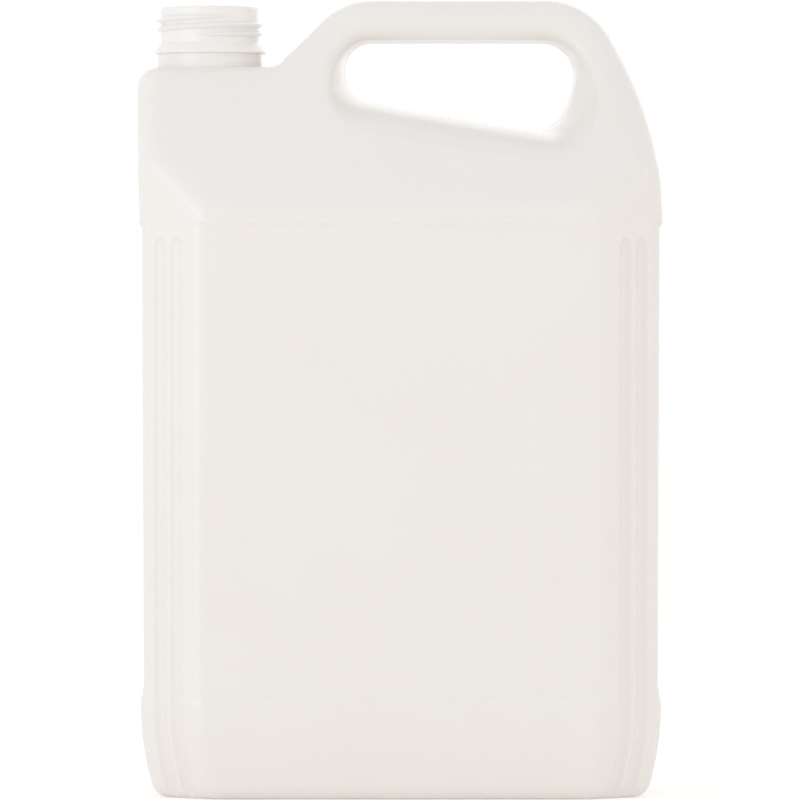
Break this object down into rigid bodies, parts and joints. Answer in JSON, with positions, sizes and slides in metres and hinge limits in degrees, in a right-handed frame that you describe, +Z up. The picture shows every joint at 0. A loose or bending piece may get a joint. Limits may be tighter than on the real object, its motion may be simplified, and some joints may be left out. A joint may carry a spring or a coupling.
{
  "type": "plastic jerrycan",
  "caption": "Blow-moulded jerrycan of milky plastic with an open threaded neck, a through handle, set-in label panels and fluted corners.",
  "frame": {"origin": "middle of the can in plan, on the surface the can stands on", "axes": "+X along the width away from the neck, +Y from the front face to the back, +Z up"},
  "size_m": [0.1907, 0.126, 0.29],
  "materials": {
    "milky_plastic": "satin"
  },
  "bodies": {
    "root": {"jerrycan": "milky_plastic"}
  },
  "joints": []
}
